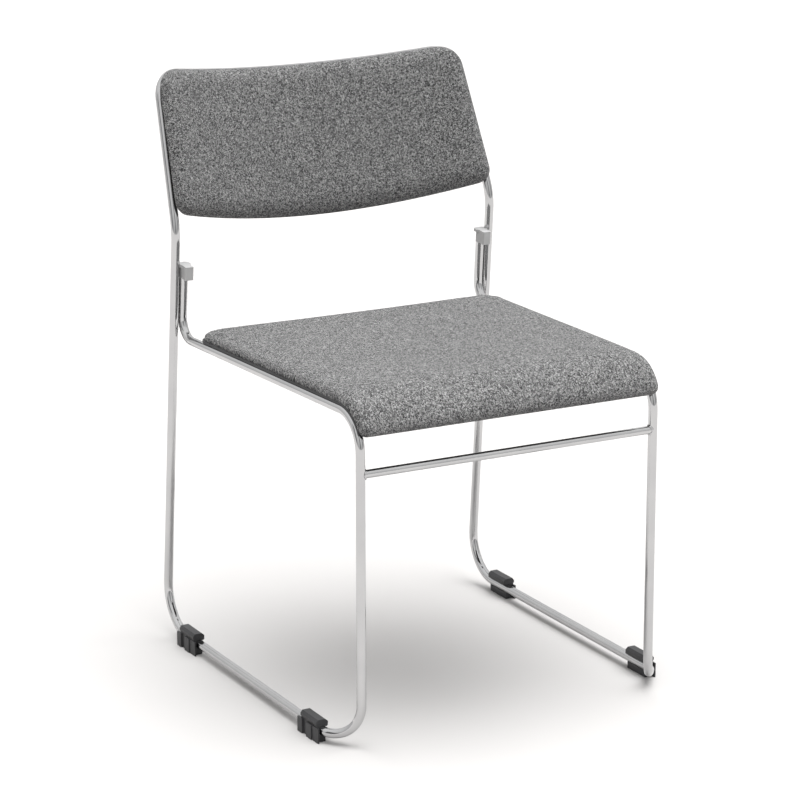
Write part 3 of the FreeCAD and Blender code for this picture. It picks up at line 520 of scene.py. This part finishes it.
def tweed_material(name, shade):
    """The tweed on one pad."""
    made, tree, shader = new_material(name)
    at = add(tree, "ShaderNodeUVMap", {"uv_map": "cloth"}).outputs["UV"]
    weave = place_group(tree, tweed, Vector=at, Shade=shade)
    bumped = add(tree, "ShaderNodeBump", Height=weave.outputs["Height"], Strength=0.7,
                 Distance=0.0007)
    tree.links.new(weave.outputs["Color"], shader.inputs["Base Color"])
    tree.links.new(bumped.outputs["Normal"], shader.inputs["Normal"])
    shader.inputs["Roughness"].default_value = 0.95
    shader.inputs["Specular IOR Level"].default_value = 0.1
    shader.inputs["Sheen Weight"].default_value = 0.06
    shader.inputs["Sheen Roughness"].default_value = 0.5
    return made


# ---------------------------------------------------------------- pads
# Each pad is a foam sheet on its board, with the tweed pulled over it and closed under
# the edge of the shell, so the top is gently crowned and the edges are soft.


def flat_pad(shape, half_width, length, corners, cell, skirt, lap):
    """A closed sheet with rounded corners, finer at its edge. Returns its top verts.

    Its underside hangs by the skirt round a recess, which takes the shell."""
    crowding = 1.25
    across = round(2 * half_width / cell)
    up = round(length / cell)
    bottom = bmesh.ops.create_grid(shape, x_segments=across, y_segments=up, size=1)["verts"]
    for vert in bottom:
        for axis, reach in ((0, half_width), (1, length / 2)):
            inside = max(1 - abs(vert.co[axis]), 0) ** crowding
            vert.co[axis] = math.copysign(reach * (1 - inside), vert.co[axis])
    for vert in bottom:
        corner = corners[vert.co.y > 0]
        dx = abs(vert.co.x) - (half_width - corner)
        dy = abs(vert.co.y) - (length / 2 - corner)
        if dx > 0 and dy > 0:
            shrink = max(dx, dy) / math.hypot(dx, dy)
            vert.co.x = math.copysign(half_width - corner + dx * shrink, vert.co.x)
            vert.co.y = math.copysign(length / 2 - corner + dy * shrink, vert.co.y)
        vert.co.z = -skirt
    underside = list(shape.faces)
    grown = bmesh.ops.extrude_face_region(shape, geom=underside)["geom"]
    top = [item for item in grown if isinstance(item, bmesh.types.BMVert)]
    bmesh.ops.translate(shape, verts=top, vec=(0, 0, skirt + 1))
    bmesh.ops.inset_region(shape, faces=underside, thickness=lap, use_even_offset=True)
    lifted = bmesh.ops.extrude_face_region(shape, geom=underside)["geom"]
    bmesh.ops.delete(shape, geom=underside, context="FACES_ONLY")
    bmesh.ops.translate(shape, vec=(0, 0, skirt + mm(0.15)), verts=[
        item for item in lifted if isinstance(item, bmesh.types.BMVert)])
    return top


def cloth_place(x, y, z, half_width, length, corners, soft, skirt):
    """Where a point of the pad lies on the flat cloth, measured along the cloth."""
    inset = max(inset_of(x, y, half_width, length, corners), 0)
    extra = 0
    if z <= mm(0.2):
        extra = (math.pi / 2 - 1) * soft + skirt
    elif inset < soft:
        turned = math.acos(1 - inset / soft)
        extra = soft * (math.pi / 2 - turned - math.cos(turned))
    way = outward(x, y, half_width, length, corners) * extra
    return x + way.x, y + way.y


def top_edge(shape):
    """The verts at the foot and the head of the pad's side wall."""
    walls = [face for face in shape.faces if abs(face.normal.z) < 0.3]
    return {vert for face in walls for vert in face.verts}


def make_pad(name, material, half_width, length, corners, cell, soft, skirt, lap, profile,
             bend):
    """A pad: drawn flat, given its thickness, bent to the frame, then puffed."""
    shape = bmesh.new()
    top = flat_pad(shape, half_width, length, corners, cell, skirt, lap)
    for vert in top:
        inset = inset_of(vert.co.x, vert.co.y, half_width, length, corners)
        vert.co.z = profile(vert.co.x, vert.co.y, inset)
    cloth_map = shape.loops.layers.uv.new("cloth")
    for face in shape.faces:
        for loop in face.loops:
            loop[cloth_map].uv = cloth_place(
                *loop.vert.co, half_width, length, corners, soft, skirt)
    shape.verts.index_update()
    edge = top_edge(shape)
    held = [vert.index for vert in shape.verts if vert.co.z <= mm(1.6) or vert in edge]
    for vert in shape.verts:
        vert.co = bend(vert.co.x, vert.co.y, vert.co.z)
    bmesh.ops.recalc_face_normals(shape, faces=shape.faces)
    mesh = bpy.data.meshes.new(name)
    for face in shape.faces:
        face.smooth = True
    shape.to_mesh(mesh)
    shape.free()
    piece = bpy.data.objects.new(name, mesh)
    bpy.context.scene.collection.objects.link(piece)
    put_on(piece, material)
    puff(piece, held)
    rounder = piece.modifiers.new("rounder", "SUBSURF")
    rounder.levels = rounder.render_levels = 1
    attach(piece, "root")
    return piece


def edge_rise(inset, height, radius, fullness=2.0):
    """The soft edge of a pad: a quarter round up to its height, or a fuller one."""
    share = min(max(inset / radius, 0.0), 1.0)
    return height * (1 - (1 - share) ** fullness) ** (1 / fullness)


# The seat's line: straight along the rails, then over the front bend to the lip.
cover_low, cover_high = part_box("seat_cover")
seat_rear = cover_high.y
bend_centre = Vector((0, cover_low.y + mm(65.39), mm(376.02)))
bend_radius = mm(46)
pan_top = mm(9.2)
middle_radius = bend_radius + mm(14)
rail_fall = math.radians(0.4745)
straight = (seat_rear - bend_centre.y) / math.cos(rail_fall)
lip_angle = math.radians(67)
seat_length = straight + middle_radius * lip_angle
seat_half = cover_high.x - mm(0.9)
seat_front_half = mm(210.3)
shoulder_radius = mm(14)
seat_crown = mm(2.4)
# the slight swell where the fabric turns over the front bend, in degrees round it
fold_height = mm(2.0)
fold_at = 32
fold_spread = 18


def seat_bend(x, y, z):
    """From the flat pad to the seat: y runs from the front lip to the rear edge."""
    run = seat_length / 2 - y
    narrow = seat_front_half + (seat_half - seat_front_half) * min(
        max(1 - run / seat_length, 0), 1) if run > 0 else seat_half
    x = x * narrow / seat_half
    up = pan_top + z
    if run <= straight:
        height = bend_centre.z + bend_radius - (straight - run) * math.sin(rail_fall)
        return Vector((
            x, seat_rear - run * math.cos(rail_fall) + up * math.sin(rail_fall),
            height + up * math.cos(rail_fall)))
    angle = (run - straight) / middle_radius
    radius = bend_radius + up
    return bend_centre + Vector((x, -radius * math.sin(angle), radius * math.cos(angle)))


def seat_profile(x, y, inset):
    """A wall, a soft shoulder and a low crown, fuller to the front than at the rear."""
    across = max(1 - (x / seat_half) ** 2, 0)
    along = max(1 - (2 * y / seat_length) ** 2, 0)
    forward = min(max(0.5 - y / seat_length, 0), 0.75)
    wall = mm(5.2) + mm(1.6) * forward
    shoulder = mm(5.2) + mm(3.0) * forward
    over = math.degrees((seat_length / 2 - straight - y) / middle_radius)
    crown = seat_crown * across ** 0.6 * along ** 0.5
    fold = fold_height * math.exp(-((over - fold_at) / fold_spread) ** 2)
    return wall + edge_rise(inset, shoulder, shoulder_radius, 2.1) + crown + fold


seat_tweed = tweed_material("seat_tweed", 0.468)
seat_pad = make_pad(
    "seat_pad", seat_tweed, seat_half, seat_length, corners=mm(11, 25), cell=mm(5.5),
    soft=mm(13), skirt=mm(1.5), lap=mm(1.2), profile=seat_profile, bend=seat_bend)
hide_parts("seat_cover")
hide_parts("seat_foam")

# The backrest's pad reaches a little past the shell's top.
back_pad_length = back_length - back_low + mm(3)
back_edge_height = mm(11)
back_edge_radius = mm(15)
back_crown = mm(1.6)


def back_bend(x, y, z):
    """From the flat pad to the backrest: y runs from the lower edge to the top."""
    tall = back_length - back_low
    share = (y + back_pad_length / 2) / tall
    reach = x / back_half_low * back_half(back_low + share * tall)
    drop = belly * max(1 - (x / back_half_low) ** 2, 0) * (1 - share)
    up = back_low + share * tall - drop
    angle = math.asin(min(max(reach / shell_front, -1), 1))
    radius = shell_front - z
    centre = back_foot + back_up * up + back_rearward * bow_axis
    return centre + Vector((radius * math.sin(angle), 0, 0)) + back_rearward * (
        radius * math.cos(angle))


def back_profile(x, y, inset):
    """Soft quarter-round edges and a shallow crown."""
    across = max(1 - (x / back_half_low) ** 2, 0)
    along = max(1 - (2 * y / back_pad_length) ** 2, 0)
    crown = back_crown * across ** 0.5 * along ** 0.5
    return mm(0.3) + edge_rise(inset, back_edge_height, back_edge_radius) + crown


# The backrest's tweed is the seat's cloth made a little darker: painted shade, standing in for
# the duller light on the backrest's steeper face.
back_tweed_shaded = tweed_material("back_tweed_shaded", 0.436)
back_pad = make_pad(
    "back_pad", back_tweed_shaded, back_half_low + mm(0.4), back_pad_length, corners=back_corners,
    cell=mm(5.0), soft=mm(15), skirt=mm(4.6), lap=mm(1.1), profile=back_profile,
    bend=back_bend)
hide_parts("back_cover")
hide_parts("back_foam")

# ---------------------------------------------------------------- floor, light and camera
# A plain white studio floor under broad soft light. The light on the pieces, what the
# plating mirrors and the white background are set apart by the kind of ray.

shape = bmesh.new()
bmesh.ops.create_grid(shape, x_segments=2, y_segments=2, size=30)
floor_mesh = bpy.data.meshes.new("floor")
shape.to_mesh(floor_mesh)
shape.free()
floor = bpy.data.objects.new("floor", floor_mesh)
bpy.context.scene.collection.objects.link(floor)
floor_white, tree, shader = new_material("floor_white")
at = tree.nodes.new("ShaderNodeTexCoord").outputs["Object"]
mottle = add(tree, "ShaderNodeTexNoise", Vector=at, Scale=3.0, Detail=3.0)
pale = ramp(tree, mottle.outputs["Fac"], [
    (0.3, (0.462, 0.454, 0.449)), (0.7, (0.474, 0.466, 0.461))])
tree.links.new(pale, shader.inputs["Base Color"])
shader.inputs["Roughness"].default_value = 0.8
shader.inputs["Specular IOR Level"].default_value = 0.0
put_on(floor, floor_white)

world = bpy.data.worlds.new("studio")
bpy.context.scene.world = world
world.use_nodes = True
tree = world.node_tree
tree.nodes.clear()
direction = tree.nodes.new("ShaderNodeTexCoord").outputs["Generated"]
split = add(tree, "ShaderNodeSeparateXYZ", Vector=direction)
box_way = add(tree, "ShaderNodeVectorMath", {"operation": "DOT_PRODUCT"}, _0=direction,
              _1=(0.12, -0.105, 0.987))
soft_box = ramp(tree, box_way.outputs["Value"], [
    (0.0, 0.03), (0.5, 0.06), (0.66, 0.145), (0.80, 0.435), (0.945, 1.0)])
mirrored = ramp(tree, split.outputs["Z"], [(0.0, 0.60), (0.25, 0.78), (0.7, 1.0)])
# dark gaps between the soft boxes, which only the plating mirrors
turn_round = add(tree, "ShaderNodeMath", {"operation": "ARCTAN2"}, _0=split.outputs["X"],
                 _1=add(tree, "ShaderNodeMath", {"operation": "MULTIPLY"}, _0=split.outputs["Y"],
                        _1=-1.0).outputs[0])
share_round = add(tree, "ShaderNodeMath", {"operation": "MULTIPLY_ADD"}, _0=turn_round.outputs[0],
                  _1=0.5 / math.pi, _2=0.5)
panels = ramp(tree, share_round.outputs[0], [
    (0.240, 1.0), (0.258, 0.15), (0.280, 0.15), (0.298, 1.0), (0.435, 1.0), (0.450, 0.15),
    (0.475, 0.15), (0.490, 1.0), (0.61, 1.0), (0.625, 0.25), (0.65, 0.25), (0.665, 1.0)])
panel_height = ramp(tree, split.outputs["Z"], [
    (0.0, 0.0), (0.05, 1.0), (0.55, 1.0), (0.68, 0.0)])
gaps = add(tree, "ShaderNodeMix", {"data_type": "RGBA"}, _0=panel_height, _7=panels)
gaps.inputs[6].default_value = (1, 1, 1, 1)
mirrored = add(tree, "ShaderNodeMix", {"data_type": "RGBA", "blend_type": "MULTIPLY"}, _0=1.0,
               _6=mirrored, _7=gaps.outputs[2]).outputs[2]
lit = add(tree, "ShaderNodeBackground", Color=soft_box, Strength=6.9)
shown = add(tree, "ShaderNodeBackground", Color=mirrored, Strength=1.05)
seen = add(tree, "ShaderNodeBackground", Strength=1.0)
seen.inputs["Color"].default_value = (1, 1, 1, 1)
path = tree.nodes.new("ShaderNodeLightPath")
either = add(tree, "ShaderNodeMixShader", _0=path.outputs["Is Glossy Ray"],
             _1=lit.outputs[0], _2=shown.outputs[0])
either = add(tree, "ShaderNodeMixShader", _0=path.outputs["Is Camera Ray"],
             _1=either.outputs[0], _2=seen.outputs[0])
end = tree.nodes.new("ShaderNodeOutputWorld")
tree.links.new(either.outputs[0], end.inputs["Surface"])

camera_data = bpy.data.cameras.new("camera")
camera_data.sensor_fit = "HORIZONTAL"
camera_data.sensor_width = 36.0
camera_data.lens = 142.83293
camera_data.clip_end = 200
camera = bpy.data.objects.new("camera", camera_data)
bpy.context.scene.collection.objects.link(camera)
azimuth, elevation, roll = (math.radians(angle) for angle in (-28.501, 15.373, -0.062))
right = Vector((math.cos(azimuth), math.sin(azimuth), 0))
backward = Vector((math.sin(azimuth) * math.cos(elevation),
                   -math.cos(azimuth) * math.cos(elevation), math.sin(elevation)))
upward = backward.cross(right)
turn = Matrix((right, upward, backward)).transposed().to_4x4()
camera.matrix_world = (Matrix.Translation(mm(-1897.9, -3494.22, 1441.3)) @ turn
                       @ Matrix.Rotation(roll, 4, "Z"))
bpy.context.scene.camera = camera
bpy.context.scene.view_settings.view_transform = "Standard"
